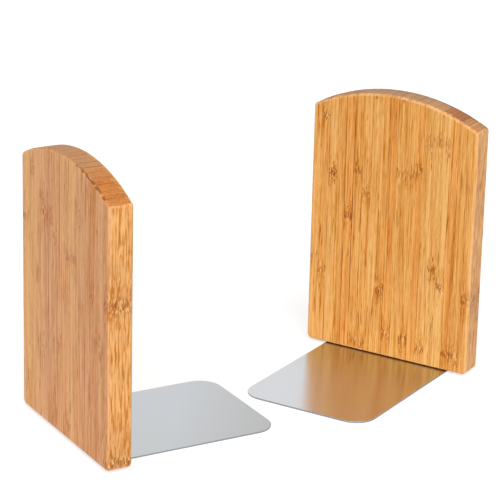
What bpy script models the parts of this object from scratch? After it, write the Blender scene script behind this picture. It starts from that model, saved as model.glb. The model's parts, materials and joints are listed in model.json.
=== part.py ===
"""Pair of bookends: an arched board of laminated bamboo staves, screwed down on a thin steel plate, twice.

Each bookend is modelled in its own frame, which an empty then places on the shelf: x runs from the board's
book face out along the base plate, y across the board, z up from the shelf. Every length is in metres.
"""

import math

import bmesh
import bpy
from mathutils import Matrix

# Board, glued up side by side from staves and sawn to its arch
stave_count = 19
stave_width = 0.007
glue_line = 0.0002
board_thickness = 0.018
shoulder_height = 0.1836
arch_rise = 0.0164
shoulder_radius = 0.003
foot_corner_radius = 0.004
edge_rounding = 0.002
edge_rounding_steps = 3
arch_steps = 24
corner_steps = 4

# Base plate
plate_reach = 0.121
plate_width = 0.101
plate_thickness = 0.0012
plate_setback = 0.003
plate_tip_radius = 0.016
plate_root_radius = 0.002
plate_edge_rounding = 0.0002
plate_edge_steps = 2
plate_tip_steps = 10
seat_gap = 0.0003

# Countersunk wood screws that hold the plate under the board, each driven up the middle of a stave
screws_per_bookend = 3
screw_spacing_share = 0.35
screw_length = 0.016
screw_head_radius = 0.0029
screw_head_land = 0.0002
screw_shank_radius = 0.0015
screw_plain_length = 0.0012
screw_tip_length = 0.0026
screw_point_radius = 0.00015
screw_sides = 12
screw_recess = 0.00005
thread_core_radius = 0.001
thread_pitch = 0.00132
thread_rows_per_turn = 4
thread_ridge_share = 0.8
cross_reach = 0.0017
cross_width = 0.0008
cross_depth = 0.0011
bore_clearance = 0.0003
bore_end_room = 0.0012
bore_sides = 24

# Places on the shelf
tip_gap = 0.0106
right_offset = 0.030
right_turn = math.radians(29)

# Modelling
cut_overrun = 0.002
merge_distance = 0.000001
sharp_angle = math.radians(35)
bevel_angle = math.radians(60)
quarter_turn = math.radians(90)

# Worked out from the sizes above
board_width = stave_count * stave_width
board_foot = plate_thickness + seat_gap
board_top = shoulder_height + arch_rise
half_board = board_width / 2
arch_radius = (half_board**2 + arch_rise**2) / (2 * arch_rise)
screw_x = -board_thickness / 2
# The nearest whole number of staves to its share of the plate's width
screw_spacing = round(screw_spacing_share * plate_width / stave_width) * stave_width
# A 90 degree head narrows as much as it is tall
head_height = screw_head_land + screw_head_radius - screw_shank_radius

# Surface colours, roughness and metallic value
finishes = {
    "bamboo_pale": ("#E8B06A", 0.45, 0),
    "bamboo_honey": ("#E0A058", 0.45, 0),
    "bamboo_amber": ("#D08E47", 0.45, 0),
    "brushed_steel": ("#C5C8CB", 0.3, 1),
    "zinc_plated_steel": ("#B9BCC2", 0.4, 1),
}
# The staves' tones from -y to +y, which start again where there are more staves
stave_tones = [
    "honey",
    "honey",
    "pale",
    "honey",
    "amber",
    "honey",
    "honey",
    "pale",
    "honey",
    "amber",
    "pale",
    "honey",
    "amber",
    "pale",
    "pale",
    "pale",
    "amber",
    "honey",
    "honey",
]


def clear_scene():
    for obj in list(bpy.data.objects):
        bpy.data.objects.remove(obj, do_unlink=True)


def new_collection(name):
    made = bpy.data.collections.new(name)
    bpy.context.scene.collection.children.link(made)
    return made


def linear(hex_colour):
    """A hex sRGB colour as linear RGBA."""
    parts = [int(hex_colour[i : i + 2], 16) / 255 for i in (1, 3, 5)]
    return [c / 12.92 if c <= 0.04045 else ((c + 0.055) / 1.055) ** 2.4 for c in parts] + [1]


def new_material(name):
    hex_colour, roughness, metallic = finishes[name]
    made = bpy.data.materials.new(name)
    made.use_nodes = True
    made.diffuse_color = linear(hex_colour)
    shader = made.node_tree.nodes["Principled BSDF"]
    shader.inputs["Base Color"].default_value = linear(hex_colour)
    shader.inputs["Roughness"].default_value = roughness
    shader.inputs["Metallic"].default_value = metallic
    return made


def add_helper(name, data):
    """A blank, guide or cutter, which isn't a part of the bookends."""
    made = bpy.data.objects.new(name, data)
    helpers.objects.link(made)
    made.hide_render = True
    made.display_type = "WIRE"
    return made


def add_helper_shape(name, shape):
    mesh = bpy.data.meshes.new(name)
    shape.to_mesh(mesh)
    shape.free()
    return add_helper(name, mesh)


def evaluated_mesh(obj, name):
    """The object's mesh with its modifiers in it and its doubled points merged, in its own coordinates."""
    bpy.context.view_layer.update()
    graph = bpy.context.evaluated_depsgraph_get()
    mesh = bpy.data.meshes.new_from_object(obj.evaluated_get(graph))
    mesh.name = name
    shape = bmesh.new()
    shape.from_mesh(mesh)
    bmesh.ops.remove_doubles(shape, verts=shape.verts, dist=merge_distance)
    shape.to_mesh(mesh)
    shape.free()
    return mesh


def finished_mesh(obj, name):
    """The same for a part: shaded smooth but for its edges, with one material slot."""
    mesh = evaluated_mesh(obj, name)
    mesh.shade_smooth()
    mesh.set_sharp_from_angle(angle=sharp_angle)
    mesh.materials.clear()
    mesh.materials.append(None)
    return mesh


def round_edges(obj, width, steps):
    bevel = obj.modifiers.new("rounded_edges", "BEVEL")
    bevel.width = width
    bevel.segments = steps
    bevel.limit_method = "ANGLE"
    bevel.angle_limit = bevel_angle
    # The clamp would hold the rounding back to the shortest segment of a corner's arc
    bevel.use_clamp_overlap = False


def boolean(obj, other, operation):
    step = obj.modifiers.new(operation.lower() + "_" + other.name, "BOOLEAN")
    step.operation = operation
    step.object = other
    step.solver = "EXACT"


def box_between(name, low, high):
    """A box helper between two corners."""
    size = [h - l for l, h in zip(low, high)]
    middle = [(h + l) / 2 for l, h in zip(low, high)]
    shape = bmesh.new()
    bmesh.ops.create_cube(shape, size=1, matrix=Matrix.LocRotScale(middle, None, size))
    return add_helper_shape(name, shape)


def arc_points(centre, radius, start, end, steps):
    """Points of an arc about centre, from angle start to angle end, both ends included."""
    angles = [start + (end - start) * i / steps for i in range(steps + 1)]
    return [(centre[0] + radius * math.cos(a), centre[1] + radius * math.sin(a)) for a in angles]


def slab(name, outline, thickness):
    """A flat solid of this outline in x and y, with half its thickness on each side of z 0."""
    curve = bpy.data.curves.new(name, "CURVE")
    curve.dimensions = "2D"
    curve.fill_mode = "BOTH"
    curve.extrude = thickness / 2
    spline = curve.splines.new("POLY")
    spline.points.add(len(outline) - 1)
    for point, (x, y) in zip(spline.points, outline):
        point.co = (x, y, 0, 1)
    spline.use_cyclic_u = True
    flat = add_helper(name + "_outline", curve)
    made = add_helper(name, evaluated_mesh(flat, name))
    bpy.data.objects.remove(flat, do_unlink=True)
    return made


def board_outline():
    """The board seen from the books: y across, z up, anticlockwise from its lower left corner."""
    arch_centre = board_top - arch_radius
    shoulder_y = half_board - shoulder_radius
    shoulder_z = arch_centre + math.sqrt((arch_radius - shoulder_radius) ** 2 - shoulder_y**2)
    arch_start = math.atan2(shoulder_z - arch_centre, shoulder_y)
    arch_end = 2 * quarter_turn - arch_start
    foot_y = half_board - foot_corner_radius
    foot_z = board_foot + foot_corner_radius
    return [
        *arc_points((-foot_y, foot_z), foot_corner_radius, 2 * quarter_turn, 3 * quarter_turn, corner_steps),
        *arc_points((foot_y, foot_z), foot_corner_radius, -quarter_turn, 0, corner_steps),
        *arc_points((shoulder_y, shoulder_z), shoulder_radius, 0, arch_start, corner_steps)[:-1],
        *arc_points((0, arch_centre), arch_radius, arch_start, arch_end, arch_steps),
        *arc_points((-shoulder_y, shoulder_z), shoulder_radius, arch_end, 2 * quarter_turn, corner_steps)[1:],
    ]


def board_blank():
    """The whole board before it is parted into staves, with its book face at x 0."""
    blank = slab("board_blank", board_outline(), board_thickness)
    stood_up = Matrix(((0, 0, 1, -board_thickness / 2), (1, 0, 0, 0), (0, 1, 0, 0), (0, 0, 0, 1)))
    blank.data.transform(stood_up)
    round_edges(blank, edge_rounding, edge_rounding_steps)
    return blank


def plate_blank():
    """The base plate without its holes."""
    half = plate_width / 2
    tip_x = plate_reach - plate_tip_radius
    tip_y = half - plate_tip_radius
    root_x = plate_setback - board_thickness + plate_root_radius
    root_y = half - plate_root_radius
    outline = [
        *arc_points((tip_x, -tip_y), plate_tip_radius, -quarter_turn, 0, plate_tip_steps),
        *arc_points((tip_x, tip_y), plate_tip_radius, 0, quarter_turn, plate_tip_steps),
        *arc_points((root_x, root_y), plate_root_radius, quarter_turn, 2 * quarter_turn, corner_steps),
        *arc_points((root_x, -root_y), plate_root_radius, 2 * quarter_turn, 3 * quarter_turn, corner_steps),
    ]
    blank = slab("base_plate_blank", outline, plate_thickness)
    blank.data.transform(Matrix.Translation((0, 0, plate_thickness / 2)))
    round_edges(blank, plate_edge_rounding, plate_edge_steps)
    return blank


def screw_places():
    """The y of each screw, in a row under the middle of the board's thickness."""
    middle = (screws_per_bookend - 1) / 2
    return [(i - middle) * screw_spacing for i in range(screws_per_bookend)]


def bore_cutter(name, y):
    """What one screw needs: a countersink and a bore, up through the plate and into the board."""
    wide = screw_head_radius + bore_clearance
    narrow = screw_shank_radius + bore_clearance
    land = screw_recess + screw_head_land
    cone_top = screw_recess + head_height
    end = screw_recess + screw_length + bore_end_room
    profile = [
        (0, end),
        (narrow, end),
        (narrow, cone_top),
        (wide, land),
        (wide, -cut_overrun),
        (0, -cut_overrun),
    ]
    mesh = bpy.data.meshes.new(name)
    edges = [(i, i + 1) for i in range(len(profile) - 1)]
    mesh.from_pydata([(radius, 0, z) for radius, z in profile], edges, [])
    cutter = add_helper(name, mesh)
    cutter.location = (screw_x, y, 0)
    turn = cutter.modifiers.new("turned", "SCREW")
    turn.axis = "Z"
    turn.steps = bore_sides
    turn.render_steps = bore_sides
    turn.use_merge_vertices = True
    turn.merge_threshold = merge_distance
    return cutter


def bore_reach_in_board():
    """How far the bore reaches from its middle at the board's foot, where its countersink may be open."""
    cone_above_foot = max(0, screw_recess + head_height - board_foot)
    return screw_shank_radius + bore_clearance + cone_above_foot


def make_staves(blank, bores):
    """A mesh for each stave from -y to +y, cut out of the board's blank."""
    meshes = []
    for number in range(1, stave_count + 1):
        high = number * stave_width - half_board
        low = high - stave_width
        low_face = low - cut_overrun if number == 1 else low + glue_line / 2
        high_face = high + cut_overrun if number == stave_count else high - glue_line / 2
        stave = box_between(
            f"stave_slab_{number:02d}",
            (-board_thickness - cut_overrun, low_face, board_foot - cut_overrun),
            (cut_overrun, high_face, board_top + cut_overrun),
        )
        boolean(stave, blank, "INTERSECT")
        for bore in bores:
            if low_face - bore_reach_in_board() < bore.location.y < high_face + bore_reach_in_board():
                boolean(stave, bore, "DIFFERENCE")
        meshes.append(finished_mesh(stave, f"stave_{number:02d}"))
    return meshes


def make_base_plate(blank, bores):
    for bore in bores:
        boolean(blank, bore, "DIFFERENCE")
    return finished_mesh(blank, "base_plate")


def screw_rings():
    """The screw's rings from its head's face up: height, radius, and the share of the thread's ridge."""
    thread_start = head_height + screw_plain_length
    thread_end = screw_length - screw_tip_length
    body_steps = max(2, round((thread_end - thread_start) / thread_pitch * thread_rows_per_turn))
    tip_steps = max(2, round(screw_tip_length / thread_pitch * thread_rows_per_turn))
    rings = [
        (0, screw_head_radius, 0),
        (screw_head_land, screw_head_radius, 0),
        (head_height, screw_shank_radius, 0),
        (head_height + screw_plain_length / 2, screw_shank_radius, 0),
    ]
    for i in range(body_steps + 1):
        height = thread_start + (thread_end - thread_start) * i / body_steps
        rings.append((height, thread_core_radius, 1))
    for i in range(1, tip_steps + 1):
        share = i / tip_steps
        radius = thread_core_radius + (screw_point_radius - thread_core_radius) * share
        rings.append((thread_end + screw_tip_length * share, radius, 1 - share))
    return rings


def make_screw():
    """A countersunk wood screw on the z axis, with its head's face at z 0, a cross in it, and its point up.

    The threaded part's radius is the core's plus a ridge that climbs one pitch in each turn.
    """
    rings = screw_rings()
    shape = bmesh.new()
    bmesh.ops.create_cone(shape, cap_ends=True, segments=screw_sides, radius1=1, radius2=1, depth=1)
    sides = [edge for edge in shape.edges if edge.verts[0].co.z * edge.verts[1].co.z < 0]
    bmesh.ops.subdivide_edges(shape, edges=sides, cuts=len(rings) - 2, use_grid_fill=True)
    ridge_height = screw_shank_radius - thread_core_radius
    for vertex in shape.verts:
        height, radius, thread = rings[round((vertex.co.z + 1 / 2) * (len(rings) - 1))]
        angle = math.atan2(vertex.co.y, vertex.co.x)
        from_crest = abs((height / thread_pitch - angle / math.tau) % 1 - 1 / 2)
        radius += ridge_height * thread * max(0, 1 - from_crest * 2 / thread_ridge_share)
        vertex.co = (radius * math.cos(angle), radius * math.sin(angle), height)
    screw = add_helper_shape("screw_blank", shape)
    arms = {"cross_slot_x": (cross_reach, cross_width / 2), "cross_slot_y": (cross_width / 2, cross_reach)}
    for name, (reach_x, reach_y) in arms.items():
        slot = box_between(name, (-reach_x, -reach_y, -cut_overrun), (reach_x, reach_y, cross_depth))
        boolean(screw, slot, "DIFFERENCE")
    return finished_mesh(screw, "wood_screw")


def place(name, mesh, material, location, frame):
    """A part of one bookend, at its place in the bookend's frame."""
    made = bpy.data.objects.new(name, mesh)
    parts.objects.link(made)
    made.location = location
    made.parent = frame
    made.material_slots[0].link = "OBJECT"
    made.material_slots[0].material = material


def footprint(meshes, turn):
    """The least x and y, then the greatest, of a bookend turned by this angle on its frame's origin."""
    turned = Matrix.Rotation(turn, 3, "Z")
    points = [turned @ vertex.co for mesh in meshes for vertex in mesh.vertices]
    return [least(p[axis] for p in points) for least in (min, max) for axis in (0, 1)]


def bookend_frames(meshes):
    """An empty for each bookend, placed so that the pair's footprint is centred on the origin."""
    facing_left = 2 * quarter_turn + right_turn
    left_low_x, left_low_y, left_high_x, left_high_y = footprint(meshes, 0)
    right_low_x, right_low_y, right_high_x, right_high_y = footprint(meshes, facing_left)
    right_x = left_high_x + tip_gap - right_low_x
    middle_x = (left_low_x + right_x + right_high_x) / 2
    low_y = min(left_low_y, right_offset + right_low_y)
    high_y = max(left_high_y, right_offset + right_high_y)
    middle_y = (low_y + high_y) / 2
    frames = {}
    for side, x, y, turn in (("left", 0, 0, 0), ("right", right_x, right_offset, facing_left)):
        frame = bpy.data.objects.new(side + "_bookend", None)
        parts.objects.link(frame)
        frame.location = (x - middle_x, y - middle_y, 0)
        frame.rotation_euler = (0, 0, turn)
        frames[side] = frame
        print(f"{side} book face: x {x - middle_x:.5f}, y {y - middle_y:.5f}, turned {turn:.5f}")
    return frames


clear_scene()
parts = new_collection("bookend_pair")
helpers = new_collection("blanks_and_cutters")
materials = {name: new_material(name) for name in finishes}

bores = [bore_cutter(f"screw_bore_{i}", y) for i, y in enumerate(screw_places(), start=1)]
staves = make_staves(board_blank(), bores)
base_plate = make_base_plate(plate_blank(), bores)
wood_screw = make_screw()

for side, frame in bookend_frames([*staves, base_plate]).items():
    for number, stave in enumerate(staves, start=1):
        tone = stave_tones[(number - 1) % len(stave_tones)]
        place(f"{side}_stave_{number:02d}", stave, materials["bamboo_" + tone], (0, 0, 0), frame)
    place(f"{side}_base_plate", base_plate, materials["brushed_steel"], (0, 0, 0), frame)
    for number, y in enumerate(screw_places(), start=1):
        screw_foot = (screw_x, y, screw_recess)
        place(f"{side}_screw_{number}", wood_screw, materials["zinc_plated_steel"], screw_foot, frame)
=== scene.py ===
import json
import math

import bmesh
import bpy
import numpy as np
from mathutils import Matrix, Vector


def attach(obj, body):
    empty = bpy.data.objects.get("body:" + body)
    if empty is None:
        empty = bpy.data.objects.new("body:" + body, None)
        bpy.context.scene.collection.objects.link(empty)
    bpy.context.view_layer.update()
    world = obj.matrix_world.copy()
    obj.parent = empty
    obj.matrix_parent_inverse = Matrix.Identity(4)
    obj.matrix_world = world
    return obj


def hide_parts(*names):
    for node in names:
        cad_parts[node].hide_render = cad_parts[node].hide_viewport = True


# A pair of bookends. Each is an arched board of side-pressed bamboo staves on a brushed steel base plate.
# Lengths in the dictionaries are in millimetres unless they say otherwise, and mm turns them to metres.
# A board's own frame: x out of its inner face, which looks at the other bookend, y across it, z up from
# the shelf. Its outer face lies at x = -18.

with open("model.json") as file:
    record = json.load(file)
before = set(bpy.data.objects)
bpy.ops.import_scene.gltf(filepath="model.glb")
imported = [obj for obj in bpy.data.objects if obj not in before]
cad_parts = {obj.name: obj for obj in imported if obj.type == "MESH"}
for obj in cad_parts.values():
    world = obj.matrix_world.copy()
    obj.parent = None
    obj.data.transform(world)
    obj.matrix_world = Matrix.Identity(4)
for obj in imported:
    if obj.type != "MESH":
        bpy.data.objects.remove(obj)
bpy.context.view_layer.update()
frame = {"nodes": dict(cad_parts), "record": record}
mm = 0.001
print("frame loaded:", len(frame["nodes"]), "nodes")


def addNode(tree, kind, inputs=(), **settings):
    # inputs: values in the order of the sockets, or a dictionary by socket name or number. A socket among
    # the values is linked, and so is a node, which stands for its first output.
    node = tree.nodes.new(kind)
    for key, value in settings.items():
        setattr(node, key, value)
    for key, value in inputs.items() if isinstance(inputs, dict) else enumerate(inputs):
        if isinstance(value, bpy.types.Node):
            value = value.outputs[0]
        if isinstance(value, bpy.types.NodeSocket):
            tree.links.new(value, node.inputs[key])
        else:
            node.inputs[key].default_value = value
    return node


def linear(hexColour):
    # sRGB hex to linear RGBA
    parts = [int(hexColour[i : i + 2], 16) / 255 for i in (1, 3, 5)]
    return [c / 12.92 if c <= 0.04045 else ((c + 0.055) / 1.055) ** 2.4 for c in parts] + [1]


def newMaterial(name):
    material = bpy.data.materials.new(name)
    material.use_nodes = True
    material.node_tree.nodes.clear()
    return material, material.node_tree


# Camera

camera = {
    "place": (-0.8257, -1.4252, 0.6780),  # metres
    "heading": (0.4961, 0.8683),  # level direction of view
    "pitch": 19.153,  # degrees down
    "roll": 1.403,  # degrees
    "lens": 180.32,
    "sensor": 36,
    "clipEnd": 100,  # metres
}


def makeCamera():
    # forward is the heading tipped down by the pitch; right and up follow, then both turn by the roll
    pitch = math.radians(camera["pitch"])
    roll = math.radians(camera["roll"])
    level = np.array(camera["heading"]) / np.hypot(*camera["heading"])
    forward = np.array([*(level * math.cos(pitch)), -math.sin(pitch)])
    right = np.array([level[1], -level[0], 0])
    up = np.cross(right, forward)
    matrix = np.eye(4)
    matrix[:3, 0] = right * math.cos(roll) + up * math.sin(roll)
    matrix[:3, 1] = up * math.cos(roll) - right * math.sin(roll)
    matrix[:3, 2] = -forward
    matrix[:3, 3] = camera["place"]
    data = bpy.data.cameras.new("camera")
    data.lens = camera["lens"]
    data.sensor_width = camera["sensor"]
    data.clip_end = camera["clipEnd"]
    made = bpy.data.objects.new("camera", data)
    made.matrix_world = Matrix(matrix.tolist())
    bpy.context.scene.collection.objects.link(made)
    bpy.context.scene.camera = made


makeCamera()
print("camera placed")


# Bamboo

bamboo = {
    # width across and length along the stave of the spindle-shaped fibre bundles. Real ones are about
    # 0.3 mm across, and these are drawn coarser so that they show.
    "cells": {"bundle": (1.2, 90), "fibre": (1.35, 60), "dash": (1.3, 15), "fleck": (1.1, 4.5)},
    # the same of the soft patterns along the grain, with their detail
    "soft": {
        "streak": (2.4, 110, 2),
        "drift": (9, 150, 1),
        "line": (1.7, 60, 1),
        "stretch": (3, 34, 1),
        "fine": (0.8, 7, 2),
    },
    # the other noises: how fast each changes per mm into the board, across it and up it, and its detail
    "noises": {
        "uneven": ((0.3, 0.35, 0.14), 2),
        "eddy": ((0.25, 0.25, 0.12), 2.5),
        "endRows": ((0.06, 1.1, 0.02), 3),
        "seams": ((0.02, 0.3, 0.03), 2),
        "pores": ((0.4, 0.16, 0.4), 2),
    },
    "dotScale": (0.5, 0.9, 0.03),  # the same of the dots in the end grain
    # how far apart the staves' own places, the cells and the soft patterns lie in the endless bamboo
    "staveOffset": (13.7, 7.3, 101),
    "cellOffset": (31.7, 13.1, 7.9),
    "softOffset": (17.3, 9.1, 5.7),
    # rows of bundles on the broad faces and on the narrow sides: radians per mm into the board and across
    # it, and how far the line pattern moves them
    "faceRows": (1.5, 2.6, 14),
    "sideRows": (2.7, 0.5, 7),
    # how much each pattern changes the tone, from 0 for the light colour to 1 for the deep one. The extra
    # ones have no mean to take off.
    "shares": {"bundle": 0.22, "fibre": 0.85, "streak": 0.15, "drift": 0.08, "fine": 1},
    "extraShares": {"faceRows": 0.26, "tint": 0.16, "dense": 0.07, "fan": 0.08},
    "sideRowsShare": 0.35,
    "meanTone": 0.36,
    "sideTone": 0.25,
    "unevenReach": (12, -6),  # the uneven noise runs from -6 to 6 mm
    "knuckleCore": 1,  # half the height of a knuckle's full strength
    "bandHalf": 4.5,  # half the height of a knuckle's dark flecks
    "fanHalf": 18,  # how far from a knuckle its fibres still bend
    "fanBend": 4.5,
    "sway": 0.35,
    "outerPink": (0.4, 0.9),  # painted sheen and shade: how pink the outer face is painted, a share of the stave's tint, and the rest
    "sidePink": 0.35,
    "strandMiddle": 0.5,  # the value of the line pattern at which it draws a strand
    "sideStrands": -0.08,  # fewer strands on the narrow sides
    # flecks: distance from a cell's middle where they start and are full, and most on face and narrow side
    "flecks": {"knuckleBrown": (0.65, 0.4, 0.95, 0.6), "paleSpeck": (0.6, 0.8, 0.7, 0.95)},
    # how much the uneven noise moves the end grain's limits, towards the faces and into the board
    "unevenEnds": 0.06,
    "unevenFront": 1.3,
    "endGround": 0.8,
    "denseDots": -0.12,
    "darkRows": 0.5,
    "oliveGain": 2.2,
    "seamReach": (0.88, 0.97),  # from where to where in the stave's half width the seam darkens
    "dryReach": (0.8, 0.92),
    "endSeam": 0.45,  # how much stronger a seam is in the end grain
    "strandBrown": "#BA650C",
    "knuckleBrown": "#A05006",
    # pale specks and a dry glue line, and the painted highlight on rounded edges
    "paleSpeck": "#FFD296",
    "glueBrown": "#854415",
    "endLight": "#E0832A",
    "endGrey": "#C09C72",
    # painted sheen: the grey of the arch's crown
    "endDark": "#86400E",
    "endOlive": "#86805E",
    # painted sheen and shade: the outer face's pinker light and deep colours
    "outerLight": "#FBBB86",
    "outerDeep": "#D27D1C",
    # painted shade for the crease where the board sits on its plate
    "seatBrown": "#A83A00",
    "outerKnuckle": "#B4500E",
    # satin lacquer: its roughness, and what the end grain and the fine grain add
    "roughness": 0.35,
    "endRoughness": 0.2,
    "fineRoughness": 0.1,
    "outerGloss": -0.08,
    "dullGloss": 0.08,
    "bumpStrength": 0.6,
    "bumpHeight": 0.00005,  # metres
    "strandRelief": -0.5,
    # light and deep colour of each tone of stave
    "tones": {
        "pale": ("#FFC678", "#D1811A"),
        "honey": ("#FFC170", "#CE7B16"),
        "amber": ("#FFBA68", "#CC7512"),
    },
    # soft steps: from which value to which value each one runs, and what it gives at these two. Depths are
    # x and heights z in the board's own frame, and shares go from 0 to 1.
    "steps": {
        "squeeze": (0, 1, 1, 0.6),  # knuckles are taller on the narrow sides
        "outer": (-15.5, -17.9, 0, 1),  # depth at which the outer face starts
        "inner": (0, 1, 1, 0),  # 1 everywhere but on the outer face
        "rowStretch": (0.3, 0.7),
        "outerGain": (0, 1, 1, 1.35),  # every pattern is stronger on the outer face
        "specks": (0.3, 0.7, -0.45, 0.45),  # fine paler and deeper specks on the narrow sides
        "dashes": (0.3, 0.75, -0.3, 0.5),
        "knuckleDashes": (0, 1, 0.9, 0.2),  # dashes at the knuckles, on the faces and on the narrow sides
        "strand": (0.03, 0.008, 0, 1),  # a strand's edge, in the line pattern's value
        "crowded": (0, 1, 0.28, 0.08),  # more strands near knuckles, on the faces and on the narrow sides
        "strandStretch": (0.48, 0.62, 0, 0.9),
        "fainter": (0, 1, 1, 0.6),  # flecks on the outer face
        "ends": (0.45, 0.7, 0, 1),  # how far a surface faces up or down where it starts to show end grain
        "front": (-1.2, -2.4, 0.25, 1),  # depth behind the inner face's rounding
        "dots": (0.5, 0.2, 0, 0.3),
        "endRows": (0.5, 0.95, 0, 0.6),
        "smoother": (192, 198, 1, 0.35),  # height over which the end grain's dots fade
        # painted sheen near the arch's top
        "crown": (193, 199, 0, 0.45),
        "olive": (-9, -17, 0, 1),
        "seamStretch": (0.42, 0.58, 0.1, 1),
        "outside": (-15, -16.5, 0, 1),  # depth at which the outer rounding starts
        # painted highlight along rounded edges, and how much of it stays at the outer face
        "worn": (0.36, 0.56, 0, 0.6),
        "wornOutside": (0, 1, 1, 0.35),
        "upward": (0.25, 0.5, 0, 1),  # how far a surface faces up or down where pores start to show
        "pores": (0.42, 0.52, 0, 0.8),
        "midRounding": (0, 0.6, 0, 1),
        "seat": (2.3, 1.8, 0, 0.9),  # height just above the board's foot, where the painted shade lies
        "onPlate": (51, 50, 0, 1),  # distance from the board's middle; the plate is narrower than the board
        "gloss": (0, 1, 0.3, 0.6),  # along the grain and in the end grain
    },
}


def makeBamboo(toneName):
    # Side-pressed bamboo under satin lacquer: straight spindle-shaped fibre bundles along each stave, fine
    # brown strands, and at each culm node a knuckle of dark flecks round which the fibres bend.
    material, tree = newMaterial(toneName + "BambooSatinLacquer")
    b = bamboo
    steps = b["steps"]
    vectors, marks = {}, {}
    for name in ("boardPoint", "knuckleMarks", "knuckleAmounts", "seamMarks", "finishMarks", "endMarks"):
        vectors[name] = addNode(tree, "ShaderNodeAttribute", attribute_name=name).outputs["Vector"]
        marks[name] = addNode(tree, "ShaderNodeSeparateXYZ", [vectors[name]]).outputs
    depth, across, height = marks["boardPoint"]
    nodeLow, nodeHigh, seed = marks["knuckleMarks"]
    amountLow, amountHigh, skin = marks["knuckleAmounts"]
    inStave, seamLow, seamHigh = marks["seamMarks"]
    rounding, sideFace, tint = marks["finishMarks"]
    endGrey, endDark, endDry = marks["endMarks"]
    openPores = addNode(tree, "ShaderNodeAttribute", attribute_name="openPores").outputs["Fac"]
    # every stave has its own place in the same endless bamboo, but seams and pores run on over all of them
    shift = addNode(tree, "ShaderNodeCombineXYZ", [seed, seed, seed])
    shift = addNode(tree, "ShaderNodeVectorMath", [shift, b["staveOffset"]], operation="MULTIPLY")
    own = addNode(tree, "ShaderNodeVectorMath", [vectors["boardPoint"], shift], operation="ADD")
    noises = {}
    for name, (scale, detail) in b["noises"].items():
        place = vectors["boardPoint"] if name in ("seams", "pores") else own
        place = addNode(tree, "ShaderNodeMapping", {0: place, "Scale": scale})
        noise = {"Vector": place, "Scale": 1, "Detail": detail}
        noises[name] = addNode(tree, "ShaderNodeTexNoise", noise).outputs

    # knuckles: nearness to the stave's two culm nodes, with an uneven edge, taller on the narrow sides
    uneven = [noises["uneven"]["Fac"], *b["unevenReach"]]
    uneven = addNode(tree, "ShaderNodeMath", uneven, operation="MULTIPLY_ADD")
    raised = addNode(tree, "ShaderNodeMath", [height, uneven], operation="ADD")
    squeeze = addNode(tree, "ShaderNodeMapRange", [sideFace, *steps["squeeze"]])
    near = {"band": [], "fan": []}
    for mark, amount in ((nodeLow, amountLow), (nodeHigh, amountHigh)):
        away = addNode(tree, "ShaderNodeMath", [raised, mark], operation="SUBTRACT")
        away = addNode(tree, "ShaderNodeMath", [away], operation="ABSOLUTE")
        away = addNode(tree, "ShaderNodeMath", [away, squeeze], operation="MULTIPLY")
        for name in near:
            reach = [away, b["knuckleCore"], b[name + "Half"], amount, 0]
            near[name].append(addNode(tree, "ShaderNodeMapRange", reach, interpolation_type="SMOOTHSTEP"))
    band, fan = (addNode(tree, "ShaderNodeMath", pair, operation="MAXIMUM") for pair in near.values())

    # fibres bend: a slow sway everywhere, and eddies near the knuckles
    eddy = [noises["eddy"]["Color"], (0.5, 0.5, 0.5)]
    eddy = addNode(tree, "ShaderNodeVectorMath", eddy, operation="SUBTRACT")
    bend = addNode(tree, "ShaderNodeMath", [fan, b["fanBend"], b["sway"]], operation="MULTIPLY_ADD")
    eddy = addNode(tree, "ShaderNodeVectorMath", {0: eddy, "Scale": bend}, operation="SCALE")
    grain = addNode(tree, "ShaderNodeVectorMath", [own, eddy], operation="ADD")

    # stretched Voronoi cells, which give bundles of fibres with crisp edges, and stretched noises
    cells, soft = {}, {}
    for i, (name, (wide, long)) in enumerate(b["cells"].items()):
        place = {0: grain, "Scale": (1 / wide, 1 / wide, 1 / long)}
        place["Location"] = [i * offset for offset in b["cellOffset"]]
        place = addNode(tree, "ShaderNodeMapping", place)
        cells[name] = addNode(tree, "ShaderNodeTexVoronoi", {"Vector": place, "Scale": 1}).outputs
    for i, (name, (wide, long, detail)) in enumerate(b["soft"].items()):
        place = {0: grain, "Scale": (1 / wide, 1 / wide, 1 / long)}
        place["Location"] = [i * offset for offset in b["softOffset"]]
        place = addNode(tree, "ShaderNodeMapping", place)
        noise = {"Vector": place, "Scale": 1, "Detail": detail}
        soft[name] = addNode(tree, "ShaderNodeTexNoise", noise).outputs["Fac"]

    # rows of bundles come and go along the grain, and there are none on the outer face
    outer = addNode(tree, "ShaderNodeMapRange", [depth, *steps["outer"]])
    inner = addNode(tree, "ShaderNodeMapRange", [outer, *steps["inner"]])
    rise = addNode(tree, "ShaderNodeMapRange", [soft["stretch"], *steps["rowStretch"], 0, inner])
    rows = {}
    for name in ("faceRows", "sideRows"):
        inward, sideways, waver = b[name]
        row = addNode(tree, "ShaderNodeVectorMath", [grain, (inward, sideways, 0)], operation="DOT_PRODUCT")
        row = [soft["line"], waver, row.outputs["Value"]]
        row = addNode(tree, "ShaderNodeMath", row, operation="MULTIPLY_ADD")
        row = addNode(tree, "ShaderNodeMath", [row], operation="SINE")
        rows[name] = addNode(tree, "ShaderNodeMath", [row, rise], operation="MULTIPLY")

    # tone: each pattern's mean of 0.5 comes off again, and the wood is deeper towards the culm's skin
    dense = addNode(tree, "ShaderNodeMath", [inStave, skin], operation="MULTIPLY")
    bundle = addNode(tree, "ShaderNodeSeparateXYZ", [cells["bundle"]["Color"]])
    patterns = {**soft, "bundle": bundle, "fibre": cells["fibre"]["Distance"]}
    patterns.update({"faceRows": rows["faceRows"], "tint": tint, "dense": dense, "fan": fan})
    tone = -sum(b["shares"].values()) / 2
    for name, share in {**b["shares"], **b["extraShares"]}.items():
        tone = addNode(tree, "ShaderNodeMath", [patterns[name], share, tone], operation="MULTIPLY_ADD")
    gain = addNode(tree, "ShaderNodeMapRange", [outer, *steps["outerGain"]])
    tone = addNode(tree, "ShaderNodeMath", [tone, gain, b["meanTone"]], operation="MULTIPLY_ADD")
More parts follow.
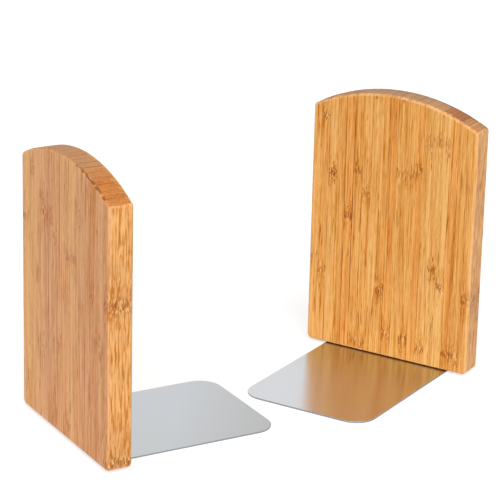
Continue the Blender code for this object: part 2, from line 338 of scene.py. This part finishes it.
    # the narrow sides cut the bundles flat: an even ground with fine specks, under pale dashes with brown
    # between them, which also show near knuckles
    ground = [rows["sideRows"], b["sideRowsShare"], b["sideTone"]]
    ground = addNode(tree, "ShaderNodeMath", ground, operation="MULTIPLY_ADD")
    specks = addNode(tree, "ShaderNodeMapRange", [soft["fine"], *steps["specks"]])
    ground = addNode(tree, "ShaderNodeMath", [ground, specks], operation="ADD")
    tone = addNode(tree, "ShaderNodeMix", {"Factor": sideFace, 2: tone, 3: ground})
    dashes = addNode(tree, "ShaderNodeMapRange", [cells["dash"]["Distance"], *steps["dashes"]])
    amount = addNode(tree, "ShaderNodeMapRange", [sideFace, *steps["knuckleDashes"]])
    amount = addNode(tree, "ShaderNodeMath", [fan, amount, sideFace], operation="MULTIPLY_ADD")
    tone = [dashes, amount, tone]
    tone = addNode(tree, "ShaderNodeMath", tone, operation="MULTIPLY_ADD", use_clamp=True)
    # painted sheen and shade: the outer face, which gets less of the lamp and more glancing sheen, is painted
    # pinker, most of all in its deeper staves, and the narrow sides a little pinker too
    paintedSheen = addNode(tree, "ShaderNodeMath", [tint, *b["outerPink"]], operation="MULTIPLY_ADD")
    paintedSheen = addNode(tree, "ShaderNodeMath", [paintedSheen, outer], operation="MULTIPLY", use_clamp=True)
    paintedSheen = [sideFace, b["sidePink"], paintedSheen]
    paintedSheen = addNode(tree, "ShaderNodeMath", paintedSheen, operation="MULTIPLY_ADD", use_clamp=True)
    colour = {"Factor": tone}
    for socket, plain, pink in zip((6, 7), b["tones"][toneName], ("outerLight", "outerDeep")):
        colour[socket] = {"Factor": paintedSheen, 6: linear(plain), 7: linear(b[pink])}
        colour[socket] = addNode(tree, "ShaderNodeMix", colour[socket], data_type="RGBA").outputs[2]
    colour = addNode(tree, "ShaderNodeMix", colour, data_type="RGBA").outputs[2]
    layers = []

    # brown strands: where a stretched noise passes its middle value, in stretches
    strand = addNode(tree, "ShaderNodeMath", [soft["line"], b["strandMiddle"]], operation="SUBTRACT")
    strand = addNode(tree, "ShaderNodeMath", [strand], operation="ABSOLUTE")
    strand = [strand, *steps["strand"]]
    strand = addNode(tree, "ShaderNodeMapRange", strand, interpolation_type="SMOOTHSTEP")
    crowded = addNode(tree, "ShaderNodeMapRange", [sideFace, *steps["crowded"]])
    stretch = addNode(tree, "ShaderNodeMath", [fan, crowded, soft["stretch"]], operation="MULTIPLY_ADD")
    stretch = addNode(tree, "ShaderNodeMath", [sideFace, b["sideStrands"], stretch], operation="MULTIPLY_ADD")
    stretch = [stretch, *steps["strandStretch"]]
    stretch = addNode(tree, "ShaderNodeMapRange", stretch, interpolation_type="SMOOTHSTEP")
    strand = addNode(tree, "ShaderNodeMath", [strand, stretch], operation="MULTIPLY")
    layers.append((strand, "strandBrown"))

    # knuckle flecks, dark in their middles and pale between them
    fainter = addNode(tree, "ShaderNodeMapRange", [outer, *steps["fainter"]])
    for name, (start, full, most, mostOnSide) in b["flecks"].items():
        most = addNode(tree, "ShaderNodeMapRange", [sideFace, 0, 1, most, mostOnSide])
        fleck = [cells["fleck"]["Distance"], start, full, 0, most]
        fleck = addNode(tree, "ShaderNodeMapRange", fleck, interpolation_type="SMOOTHSTEP")
        for factor in (band, fainter):
            fleck = addNode(tree, "ShaderNodeMath", [fleck, factor], operation="MULTIPLY")
        layers.append((fleck, name))

    # end grain, where the arch and the foot cut the fibres: dark dots in rows along the seams, closer
    # together towards the skin, in a ground that is browner in some staves
    facing = addNode(tree, "ShaderNodeTexCoord").outputs["Normal"]
    facing = addNode(tree, "ShaderNodeSeparateXYZ", [facing]).outputs["Z"]
    facing = addNode(tree, "ShaderNodeMath", [facing], operation="ABSOLUTE")
    ends = addNode(tree, "ShaderNodeMath", [uneven, b["unevenEnds"], facing], operation="MULTIPLY_ADD")
    ends = addNode(tree, "ShaderNodeMapRange", [ends, *steps["ends"]])
    front = addNode(tree, "ShaderNodeMath", [uneven, b["unevenFront"], depth], operation="MULTIPLY_ADD")
    front = addNode(tree, "ShaderNodeMapRange", [front, *steps["front"]])
    ends = addNode(tree, "ShaderNodeMath", [ends, front], operation="MULTIPLY")
    dots = addNode(tree, "ShaderNodeMapping", {0: own, "Scale": b["dotScale"]})
    dots = addNode(tree, "ShaderNodeTexVoronoi", {"Vector": dots, "Scale": 1}).outputs["Distance"]
    dots = addNode(tree, "ShaderNodeMath", [dense, b["denseDots"], dots], operation="MULTIPLY_ADD")
    dots = addNode(tree, "ShaderNodeMapRange", [dots, *steps["dots"]], interpolation_type="SMOOTHSTEP")
    endRows = [endDark, b["darkRows"], noises["endRows"]["Fac"]]
    endRows = addNode(tree, "ShaderNodeMath", endRows, operation="MULTIPLY_ADD")
    endRows = [endRows, *steps["endRows"]]
    endRows = addNode(tree, "ShaderNodeMapRange", endRows, interpolation_type="SMOOTHSTEP")
    dots = addNode(tree, "ShaderNodeMath", [dots, endRows], operation="ADD")
    smoother = addNode(tree, "ShaderNodeMapRange", [height, *steps["smoother"]])
    dots = addNode(tree, "ShaderNodeMath", [dots, smoother], operation="MULTIPLY")
    # painted sheen: the crown of the arch is painted greyer, in some staves more than others, for the pale
    # sheen a top shows at a glancing view
    crown = addNode(tree, "ShaderNodeMapRange", [height, *steps["crown"]])
    crown = addNode(tree, "ShaderNodeMath", [crown, endGrey], operation="ADD", use_clamp=True)
    # and greener towards the outer face where it is grey
    olive = addNode(tree, "ShaderNodeMapRange", [depth, *steps["olive"]])
    olive = addNode(tree, "ShaderNodeMath", [olive, endGrey], operation="MULTIPLY")
    olive = addNode(tree, "ShaderNodeMath", [olive, b["oliveGain"]], operation="MULTIPLY", use_clamp=True)
    for value, name in (
        (b["endGround"], "endLight"),
        (crown, "endGrey"),
        (olive, "endOlive"),
        (dots, "endDark"),
    ):
        layers.append((addNode(tree, "ShaderNodeMath", [value, ends], operation="MULTIPLY"), name))

    # glue seams at the stave's two sides, stronger in some stretches
    seamStretch = addNode(tree, "ShaderNodeMapRange", [noises["seams"]["Fac"], *steps["seamStretch"]])
    seamStretch = addNode(tree, "ShaderNodeMath", [seamStretch, ends], operation="MAXIMUM")
    start, full = b["seamReach"]
    for side, strength in ((-1, seamLow), (1, seamHigh)):
        strength = addNode(tree, "ShaderNodeMath", [ends, b["endSeam"], strength], operation="MULTIPLY_ADD")
        edge = [inStave, side * start, side * full, 0, strength]
        edge = addNode(tree, "ShaderNodeMapRange", edge, interpolation_type="SMOOTHSTEP")
        edge = addNode(tree, "ShaderNodeMath", [edge, seamStretch], operation="MULTIPLY", use_clamp=True)
        layers.append((edge, "glueBrown"))
    # one dry glue line shows pale
    dry = addNode(tree, "ShaderNodeMath", [endDry, ends], operation="MULTIPLY")
    dry = addNode(tree, "ShaderNodeMapRange", [inStave, *b["dryReach"], 0, dry])
    layers.append((dry, "paleSpeck"))

    # painted highlight: rounded edges are painted paler, less so at the outer face, where some staves show
    # open pores along the arch
    outside = addNode(tree, "ShaderNodeMapRange", [depth, *steps["outside"]])
    worn = addNode(tree, "ShaderNodeMapRange", [soft["stretch"], *steps["worn"]])
    wornOutside = addNode(tree, "ShaderNodeMapRange", [outside, *steps["wornOutside"]])
    upward = addNode(tree, "ShaderNodeMapRange", [facing, *steps["upward"]])
    pores = [noises["pores"]["Fac"], *steps["pores"]]
    pores = addNode(tree, "ShaderNodeMapRange", pores, interpolation_type="SMOOTHSTEP")
    midRounding = addNode(tree, "ShaderNodeMapRange", [rounding, *steps["midRounding"]])
    for name, value, factors in (
        ("paleSpeck", worn, (wornOutside, rounding)),
        ("endDark", pores, (upward, outside, openPores, midRounding)),
    ):
        for factor in factors:
            value = addNode(tree, "ShaderNodeMath", [value, factor], operation="MULTIPLY")
        layers.append((value, name))

    # painted shade: a dark line in the crease where the board sits on its plate
    seat = addNode(tree, "ShaderNodeMapRange", [height, *steps["seat"]])
    onPlate = addNode(tree, "ShaderNodeMath", [across], operation="ABSOLUTE")
    onPlate = addNode(tree, "ShaderNodeMapRange", [onPlate, *steps["onPlate"]])
    seat = addNode(tree, "ShaderNodeMath", [seat, onPlate], operation="MULTIPLY")
    layers.append((seat, "seatBrown"))

    # every layer over the one before, with redder knuckles on the outer face
    shades = {name: linear(b[name]) for amount, name in layers}
    redder = {"Factor": outer, 6: shades["knuckleBrown"], 7: linear(b["outerKnuckle"])}
    shades["knuckleBrown"] = addNode(tree, "ShaderNodeMix", redder, data_type="RGBA").outputs[2]
    for amount, name in layers:
        colour = {"Factor": amount, 6: colour, 7: shades[name]}
        colour = addNode(tree, "ShaderNodeMix", colour, data_type="RGBA").outputs[2]

    # lacquer: satin on the long grain, duller where the end grain drank it
    relief = [strand, b["strandRelief"], soft["fine"]]
    relief = addNode(tree, "ShaderNodeMath", relief, operation="MULTIPLY_ADD")
    bump = {"Height": relief, "Strength": b["bumpStrength"], "Distance": b["bumpHeight"]}
    bump = addNode(tree, "ShaderNodeBump", bump)
    rough = [ends, b["endRoughness"], b["roughness"]]
    rough = addNode(tree, "ShaderNodeMath", rough, operation="MULTIPLY_ADD")
    rough = [soft["fine"], b["fineRoughness"], rough]
    rough = addNode(tree, "ShaderNodeMath", rough, operation="MULTIPLY_ADD")
    gloss = addNode(tree, "ShaderNodeMapRange", [ends, *steps["gloss"]])
    gloss = addNode(tree, "ShaderNodeMath", [outer, b["outerGloss"], gloss], operation="MULTIPLY_ADD")
    # brown fibres and the seat line hardly shine
    dull = seat
    for amount, name in layers:
        if name in ("strandBrown", "knuckleBrown"):
            dull = addNode(tree, "ShaderNodeMath", [dull, amount], operation="MAXIMUM")
    gloss = addNode(tree, "ShaderNodeMapRange", [dull, 0, 1, gloss, b["dullGloss"]])
    shader = {"Base Color": colour, "Roughness": rough, "Normal": bump, "Specular IOR Level": gloss}
    shader = addNode(tree, "ShaderNodeBsdfPrincipled", shader)
    addNode(tree, "ShaderNodeOutputMaterial", {"Surface": shader})
    return material


bambooMaterials = {name: makeBamboo(name) for name in bamboo["tones"]}
print("bamboo made")


# Boards

board = {
    "staves": 19,
    "staveWidth": 7,
    "thickness": 18,
    "foot": 1.5,
    "shoulder": 183.6,
    "rise": 16.4,
    "shoulderRound": 3,
    "footRound": 4,
    "edgeRound": 2,
    "roundSteps": 8,
    "acrossSteps": 10,
    "sideSteps": 24,
    "groove": 0.05,  # depth of the fine V between two staves
    "grooveGap": 0.005,
    "flatMargin": 0.4,  # the flats' outermost strip, which keeps the rounding's shading to itself
    "mergeDistance": 0.0000005,  # metres
    "sharpAngle": 30,  # degrees
    "seedStep": 40,  # between the seeds of the two boards
    "tintSpread": 0.15,  # how far chance moves a stave's tint
    "farAway": -400,  # height of a culm node that a stave doesn't have
}
# place of the foot of each inner face, and its turn in degrees
boardPlaces = {"left": (-142.7075, -14.55, 0), "right": (113.44, 15.45, 209)}
# culm nodes: stave number -> up to two of (height, strength)
knuckles = {
    "left": {
        1: [(116, 1), (7, 1)],
        2: [(84, 0.75)],
        3: [(86, 0.65)],
        4: [(117, 0.75)],
        7: [(165, 0.65)],
        8: [(133, 0.75)],
        9: [(131, 0.65), (12, 0.65)],
        10: [(105, 0.55)],
        11: [(66, 0.75)],
        12: [(141, 0.65)],
        13: [(149, 0.85)],
        14: [(152, 1)],
        15: [(162, 0.75), (50, 0.55)],
        16: [(103, 0.45)],
        17: [(178, 0.55)],
        18: [(28, 0.45)],
        19: [(140, 1)],
    },
    "right": {
        1: [(70, 0.4)],
        2: [(177, 0.8), (58, 0.6)],
        3: [(135, 1)],
        5: [(104, 0.9)],
        6: [(139, 0.7), (9, 0.5)],
        7: [(124, 0.5), (7, 0.5)],
        8: [(196, 0.4)],
        9: [(52, 0.9)],
        10: [(20, 0.8)],
        11: [(143, 0.5)],
        12: [(143, 0.5), (18, 0.9)],
        13: [(149, 0.7)],
        14: [(168, 0.35), (13, 0.7)],
        15: [(77, 0.8), (173, 0.35)],
        16: [(65, 0.8), (172, 0.4)],
        17: [(15, 0.6)],
        18: [(14, 0.8)],
        19: [(58, 0.8)],
    },
}
# strength of the seam line between stave number n and the next
seamStrengths = {
    "left": {6: 0.9, 12: 0.4, 13: 0.7, 17: 0.3},
    "right": {2: 0.8, 4: 0.9, 5: 1, 6: 0.7, 9: 0.8, 10: 0.7, 12: 0.7, 16: 0.5, 17: 0.5, 18: 0.5},
}
defaultSeam = 0.2
# how much deeper and redder each board is, and the single staves in it
boardTints = {"left": -0.06, "right": 0.2}
staveTints = {
    "left": {
        1: 0.15, 2: -0.1, 3: 1, 4: 0.6, 5: 0.4, 6: 0.15, 7: -0.1, 8: -0.84, 9: -0.9, 10: -0.6,
        11: -0.1, 12: 0.53, 13: 0.2, 14: 0.2, 15: -0.45, 16: -0.75, 17: -1, 18: -1.7, 19: -0.7,
    },
    "right": {
        1: -1.1, 2: 0, 3: -0.15, 4: 0.85, 5: -0.1, 6: 0.3, 7: -0.2, 9: 0.55, 10: 0.05, 11: 0.1,
        12: 0.05, 13: -0.5, 14: -0.4, 15: -0.55, 16: -1.45, 17: -0.05, 18: 0.15, 19: 0.1,
    },
}
# the end grain's least and most greyness, which adds to the crown's painted sheen, and darkness, and the
# stave with a dry glue line, if any
endTones = {"left": ((-0.05, 0.05), (0, 0.35), 0), "right": ((0.1, 0.35), (0, 0.9), 18)}
# the staves with open pores along the arch's outer edge
poreStaves = {"left": range(2, 8), "right": range(9, 19)}


def boardSections(y, inset):
    # One closed loop round the board for each y. A rounding at angle t keeps x = -r + r sin t and lies
    # r - r cos t inside the outline, whose top is the arch and then the shoulder's arc, and whose foot is
    # flat and then the corner's arc. Near the board's sides t stops where the outline is that close.
    r = board["edgeRound"]
    half = board["staves"] * board["staveWidth"] / 2
    radius = (half**2 + board["rise"] ** 2) / (2 * board["rise"])
    centre = board["shoulder"] + board["rise"] - radius
    shoulderY = half - board["shoulderRound"]
    shoulderZ = centre + math.sqrt((radius - board["shoulderRound"]) ** 2 - shoulderY**2)
    joinY = shoulderY * radius / (radius - board["shoulderRound"])
    footY = half - board["footRound"]
    footZ = board["foot"] + board["footRound"]
    across = np.abs(y)[:, None]
    last = np.arccos(np.clip(1 - (half - across) / r, 0, 1))
    t = last * np.linspace(0, 1, board["roundSteps"] + 1)
    depth = r - r * np.cos(t)
    out = r * np.sin(t) - r
    archTop = centre + np.sqrt(np.maximum((radius - depth) ** 2 - across**2, 0))
    shoulderTop = (board["shoulderRound"] - depth) ** 2 - (across - shoulderY) ** 2
    shoulderTop = shoulderZ + np.sqrt(np.maximum(shoulderTop, 0))
    onArch = across * (radius - board["shoulderRound"]) < shoulderY * (radius - depth)
    top = np.where(onArch, archTop, shoulderTop)
    cornerFoot = (board["footRound"] - depth) ** 2 - (across - footY) ** 2
    cornerFoot = footZ - np.sqrt(np.maximum(cornerFoot, 0))
    foot = np.where(across < footY, board["foot"] + depth, cornerFoot)
    margin = board["flatMargin"]
    rear = -board["thickness"] - out
    loop = [
        (out, foot),
        (out[:, -1:], foot[:, -1:] + margin),
        (out[:, -1:], top[:, -1:] - margin),
        (out[:, ::-1], top[:, ::-1]),
        (out[:, :1] - margin, top[:, :1]),
        (rear[:, :1] + margin, top[:, :1]),
        (rear, top),
        (rear[:, -1:], top[:, -1:] - margin),
        (rear[:, -1:], foot[:, -1:] + margin),
        (rear[:, ::-1], foot[:, ::-1]),
        (rear[:, :1] + margin, foot[:, :1]),
        (out[:, :1] - margin, foot[:, :1]),
    ]
    x, z = (np.concatenate(parts, 1) for parts in zip(*loop))
    # 1 in the middle of a rounding, of the shoulder's arc and of the foot corner's arc; the painted highlight
    # and the pores follow it
    rounding = np.sin(2 * t)
    flats = rounding[:, -1:]
    arcs = [np.clip((across - start) / (half - start), 0, 1) for start in (joinY, footY)]
    bendTop, bendFoot = (np.sin(math.pi * arc) for arc in arcs)
    markTop = np.maximum(rounding, bendTop)
    markFoot = np.maximum(rounding, bendFoot)
    marks = [markFoot, flats, flats, markTop[:, ::-1], bendTop, bendTop]
    marks += [markTop, flats, flats, markFoot[:, ::-1], bendFoot, bendFoot]
    marks = np.concatenate(marks, 1)
    # an inset loop moves towards the middle of the board's thickness and height
    middleX = -board["thickness"] / 2
    middleZ = (board["foot"] + board["shoulder"]) / 2
    x = x - np.sign(x - middleX) * inset[:, None]
    z = z - np.sign(z - middleZ) * inset[:, None]
    sideFace = np.broadcast_to(np.cos(last) ** 2, x.shape)
    return np.stack([x, np.broadcast_to(y[:, None], x.shape), z], 2), marks, sideFace


def staveSteps(number):
    # y of each loop across one stave, and its inset: a fine V at a glued side, the rounding at a free side
    half = board["staves"] * board["staveWidth"] / 2
    low = (number - 1) * board["staveWidth"] - half
    high = low + board["staveWidth"]
    gap = board["grooveGap"]
    groove = board["groove"]
    sidePart = max(board["footRound"], board["shoulderRound"])
    side = sidePart * (1 - np.cos(np.linspace(0, math.pi / 2, board["sideSteps"] + 1)))
    start = ([low + gap, low + gap + groove], [groove, 0])
    end = ([high - gap - groove, high - gap], [0, groove])
    if number == 1:
        start = ([low, *(low + side)], [board["flatMargin"], *(side * 0)])
    if number == board["staves"]:
        end = ([*(high - side[::-1]), high], [*(side * 0), board["flatMargin"]])
    between = np.linspace(start[0][-1], end[0][0], board["acrossSteps"])[1:-1]
    y = np.array([*start[0], *between, *end[0]])
    inset = np.array([*start[1], *(between * 0), *end[1]])
    return y, inset


def makeStave(side, number, seed):
    # the loops across one stave, joined by quads and closed at both ends, turned and moved to its place
    y, inset = staveSteps(number)
    points, rounding, sideFace = boardSections(y, inset)
    rows, columns = points.shape[:2]
    corner = np.arange(rows * columns).reshape(rows, columns)
    ahead = np.roll(corner, -1, 1)
    quads = np.stack([corner[:-1], ahead[:-1], ahead[1:], corner[1:]], 2).reshape(-1, 4)
    ends = [corner[0][::-1].tolist(), corner[-1].tolist()]
    local = points.reshape(-1, 3)
    placeX, placeY, turn = boardPlaces[side]
    turn = math.radians(turn)
    world = np.stack(
        [
            local[:, 0] * math.cos(turn) - local[:, 1] * math.sin(turn) + placeX,
            local[:, 0] * math.sin(turn) + local[:, 1] * math.cos(turn) + placeY,
            local[:, 2],
        ],
        1,
    )
    name = f"{side}Stave{number:02d}"
    mesh = bpy.data.meshes.new(name)
    mesh.from_pydata((world * mm).tolist(), [], quads.tolist() + ends)

    # what the bamboo reads at every point: three values each, or one
    middle = (number - (board["staves"] + 1) / 2) * board["staveWidth"]
    inStave = (local[:, 1] - middle) / (board["staveWidth"] / 2)
    seams = [seamStrengths[side].get(n, defaultSeam) for n in (number - 1, number)]
    noNode = (board["farAway"], 0)
    heights, amounts = zip(*[*knuckles[side].get(number, []), noNode, noNode][:2])
    skin = 1 if seed % 2 else -1
    random = np.random.default_rng(seed)
    tint = random.uniform(-board["tintSpread"], board["tintSpread"])
    tint = tint + boardTints[side] + staveTints[side].get(number, 0)
    greyness, darkness, dryStave = endTones[side]
    grey, dark = random.uniform(*greyness), random.uniform(*darkness)
    attributes = {
        "boardPoint": local.T,
        "knuckleMarks": (*heights, seed),
        "knuckleAmounts": (*amounts, skin),
        "seamMarks": (inStave, *seams),
        "finishMarks": (rounding.ravel(), sideFace.ravel(), tint),
        "endMarks": (grey, dark, number == dryStave),
        "openPores": (number in poreStaves[side],),
    }
    ones = np.ones(len(local))
    for key, values in attributes.items():
        kind, field = ("FLOAT_VECTOR", "vector") if len(values) == 3 else ("FLOAT", "value")
        table = np.stack([ones * value for value in values], 1).astype(np.float32)
        mesh.attributes.new(key, kind, "POINT").data.foreach_set(field, table.ravel())

    shape = bmesh.new()
    shape.from_mesh(mesh)
    bmesh.ops.remove_doubles(shape, verts=shape.verts, dist=board["mergeDistance"])
    bmesh.ops.dissolve_degenerate(shape, edges=shape.edges, dist=board["mergeDistance"])
    bmesh.ops.recalc_face_normals(shape, faces=shape.faces)
    shape.to_mesh(mesh)
    shape.free()
    mesh.shade_smooth()
    mesh.set_sharp_from_angle(angle=math.radians(board["sharpAngle"]))
    made = bpy.data.objects.new(name, mesh)
    bpy.context.scene.collection.objects.link(made)
    node = f"{side}_stave_{number:02d}"
    slotName = next(p["material_slot"] for p in frame["record"]["subparts"] if p["node"] == node)
    mesh.materials.append(bambooMaterials[slotName.replace("bamboo_", "")])
    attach(made, side + "_bookend")
    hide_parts(node)


for sideNumber, side in enumerate(boardPlaces):
    for number in range(1, board["staves"] + 1):
        makeStave(side, number, sideNumber * board["seedStep"] + number)
print("boards made")


# Steel

steel = {
    # the two sheets: light and deep colour, with the left sheet's a little darker as painted shade, and how
    # much painted board reflection and painted tip shade each holds
    "left": ("#CACDD1", "#C1C4C9", 0.1, 1),
    "right": ("#DBDCDF", "#D0D2D6", 0.5, 0),
    # distance between brushed lines and their length, with their detail. Real lines are about 0.05 mm
    # apart, and these are drawn coarser so that they show.
    "line": (0.15, 30, 3),
    "lineReach": (0.4, 0.75),  # the line pattern's values at which a scratch starts and is full
    "roughness": (0.21, 0.26),  # between the scratches and in them
    "brushed": 0.8,  # how much longer the blur is along the sheet
    "bumpStrength": 0.02,
    "bumpHeight": 0.00001,  # metres
    # painted reflection and shade: yellower and deeper beside the board, for the board's darker foot mirrored
    # there, fading over this distance
    "polish": "#BCBC8C",
    "polishReach": 70,
    # painted shade: greyer towards the tip's near corner: the direction along and across the sheet, and from
    # where to where that way
    "film": "#B3B3B1",
    "filmWay": (0.82, -0.57),
    "filmReach": (55, 135),
    # the sheared edge, painted darker partly for its own grey and partly as painted contact shade, and how
    # far a surface faces up or down where it starts and is full
    "edge": "#92989E",
    "edgeReach": (0.8, 0.4),
}
zinc = {
    "shades": ("#AEB2BA", "#C4C7CC"),
    "cloudScale": 900,  # per metre
    "cloudDetail": 3,
    "roughness": (0.28, 0.42),
    "bumpStrength": 0.2,
    "bumpHeight": 0.00002,  # metres
}


def makeBrushedSteel(side):
    # Stainless sheet brushed across its length: an even pale grey that mirrors what stands on it, blurred
    # most along the sheet, with fine scratches of several depths, a darker edge where it was sheared, partly
    # painted contact shade, painted reflection and shade beside the board, and painted shade towards the tip
    material, tree = newMaterial(side + "BrushedStainlessSheet")
    coordinates = addNode(tree, "ShaderNodeTexCoord").outputs
    # turned so that x runs along the sheet from the board's inner face
    placeX, placeY, turn = boardPlaces[side]
    turn = math.radians(turn)
    back = Matrix.Rotation(-turn, 3, "Z")
    sheet = {0: coordinates["Object"], "Rotation": back.to_euler()}
    sheet["Location"] = -(back @ Vector((placeX, placeY, 0))) * mm
    sheet = addNode(tree, "ShaderNodeMapping", sheet)
    wide, long, detail = steel["line"]
    lines = {0: sheet, "Scale": (1 / (wide * mm), 1 / (long * mm), 1)}
    lines = {"Vector": addNode(tree, "ShaderNodeMapping", lines), "Scale": 1, "Detail": detail}
    lines = addNode(tree, "ShaderNodeTexNoise", lines).outputs["Fac"]
    rough = addNode(tree, "ShaderNodeMapRange", [lines, *steel["lineReach"], *steel["roughness"]])

    light, deep, boardReflectionAmount, tipShadeAmount = steel[side]
    away = addNode(tree, "ShaderNodeSeparateXYZ", [sheet])
    # painted reflection and shade beside the board
    polish = [away, steel["polishReach"] * mm, 0, 0, boardReflectionAmount]
    polish = addNode(tree, "ShaderNodeMapRange", polish, interpolation_type="SMOOTHSTEP")
    # painted shade towards the tip's near corner
    film = [sheet, (*steel["filmWay"], 0)]
    film = addNode(tree, "ShaderNodeVectorMath", film, operation="DOT_PRODUCT").outputs["Value"]
    film = [film, *(reach * mm for reach in steel["filmReach"]), 0, tipShadeAmount]
    film = addNode(tree, "ShaderNodeMapRange", film)
    # the sheared edge's own grey and painted contact shade
    facing = addNode(tree, "ShaderNodeSeparateXYZ", [coordinates["Normal"]]).outputs["Z"]
    facing = addNode(tree, "ShaderNodeMath", [facing], operation="ABSOLUTE")
    edge = addNode(tree, "ShaderNodeMapRange", [facing, *steel["edgeReach"]])
    shade = linear(light)
    layers = ((lines, deep), (polish, steel["polish"]), (film, steel["film"]), (edge, steel["edge"]))
    for amount, layer in layers:
        shade = {"Factor": amount, 6: shade, 7: linear(layer)}
        shade = addNode(tree, "ShaderNodeMix", shade, data_type="RGBA").outputs[2]

    bump = {"Height": lines, "Strength": steel["bumpStrength"], "Distance": steel["bumpHeight"]}
    bump = addNode(tree, "ShaderNodeBump", bump)
    heading = addNode(tree, "ShaderNodeCombineXYZ", [math.cos(turn), math.sin(turn)])
    shader = {"Base Color": shade, "Metallic": 1, "Roughness": rough, "Normal": bump, "Tangent": heading}
    shader["Anisotropic"] = steel["brushed"]
    shader = addNode(tree, "ShaderNodeBsdfPrincipled", shader)
    addNode(tree, "ShaderNodeOutputMaterial", {"Surface": shader})
    return material


def makeZincPlate():
    # Bright zinc plating on screws: a bluish grey with a faint cloudiness
    material, tree = newMaterial("zincPlatedScrewSteel")
    cloud = {"Vector": addNode(tree, "ShaderNodeTexCoord").outputs["Object"]}
    cloud.update({"Scale": zinc["cloudScale"], "Detail": zinc["cloudDetail"]})
    cloud = addNode(tree, "ShaderNodeTexNoise", cloud).outputs["Fac"]
    shade = {"Factor": cloud, 6: linear(zinc["shades"][0]), 7: linear(zinc["shades"][1])}
    shade = addNode(tree, "ShaderNodeMix", shade, data_type="RGBA").outputs[2]
    rough = addNode(tree, "ShaderNodeMapRange", [cloud, 0, 1, *zinc["roughness"]])
    bump = {"Height": cloud, "Strength": zinc["bumpStrength"], "Distance": zinc["bumpHeight"]}
    bump = addNode(tree, "ShaderNodeBump", bump)
    shader = {"Base Color": shade, "Metallic": 1, "Roughness": rough, "Normal": bump}
    shader = addNode(tree, "ShaderNodeBsdfPrincipled", shader)
    addNode(tree, "ShaderNodeOutputMaterial", {"Surface": shader})
    return material


zincPlate = makeZincPlate()
for side in boardPlaces:
    sheet = makeBrushedSteel(side)
    for node, piece in frame["nodes"].items():
        if node.startswith(side) and "stave" not in node:
            for slot in piece.material_slots:
                slot.material = sheet if "plate" in node else zincPlate
print("steel made")


# Studio

studio = {
    "floorSize": 40,  # metres
    "floorDrop": 0.0003,  # metres under the plates, so that the two surfaces don't fight
    "floorColour": "#DCDCDC",
    "floorLift": 0.6,  # white added for the camera and for mirrors
    "roomLight": 0.32,
    "keyStrength": 2.3,
    "keyFrom": (-0.43, -0.90, 0.70),
    "keySpread": 70,  # degrees
}


def showRays(tree):
    # 1 for the rays that show the background: camera, glossy and transmission rays
    path = addNode(tree, "ShaderNodeLightPath").outputs
    shown = [path["Is Camera Ray"], path["Is Glossy Ray"]]
    shown = addNode(tree, "ShaderNodeMath", shown, operation="ADD")
    shown = [shown, path["Is Transmission Ray"]]
    return addNode(tree, "ShaderNodeMath", shown, operation="ADD", use_clamp=True)


def makeStudio():
    # pale floor, even white room light, and one broad soft lamp from beside the camera
    white = linear("#FFFFFF")
    half = studio["floorSize"] / 2
    mesh = bpy.data.meshes.new("floor")
    corners = [(x * half, y * half, -studio["floorDrop"]) for x, y in ((-1, -1), (1, -1), (1, 1), (-1, 1))]
    mesh.from_pydata(corners, [], [(0, 1, 2, 3)])
    floor = bpy.data.objects.new("floor", mesh)
    bpy.context.scene.collection.objects.link(floor)
    material, tree = newMaterial("paintedFloor")
    lift = addNode(tree, "ShaderNodeMath", [showRays(tree), studio["floorLift"]], operation="MULTIPLY")
    glow = addNode(tree, "ShaderNodeEmission", {"Color": white, "Strength": lift})
    paint = addNode(tree, "ShaderNodeBsdfDiffuse", {"Color": linear(studio["floorColour"])})
    both = addNode(tree, "ShaderNodeAddShader", [paint, glow])
    addNode(tree, "ShaderNodeOutputMaterial", {"Surface": both})
    mesh.materials.append(material)

    world = bpy.data.worlds.new("room")
    world.use_nodes = True
    tree = world.node_tree
    tree.nodes.clear()
    level = addNode(tree, "ShaderNodeMapRange", [showRays(tree), 0, 1, studio["roomLight"], 1])
    back = addNode(tree, "ShaderNodeBackground", {"Color": white, "Strength": level})
    addNode(tree, "ShaderNodeOutputWorld", {"Surface": back})
    bpy.context.scene.world = world

    lamp = bpy.data.lights.new("key", "SUN")
    lamp.energy = studio["keyStrength"]
    lamp.angle = math.radians(studio["keySpread"])
    key = bpy.data.objects.new("key", lamp)
    key.rotation_euler = Vector(studio["keyFrom"]).to_track_quat("Z", "Y").to_euler()
    bpy.context.scene.collection.objects.link(key)


makeStudio()
bpy.context.scene.view_settings.view_transform = "Standard"
print("studio made")
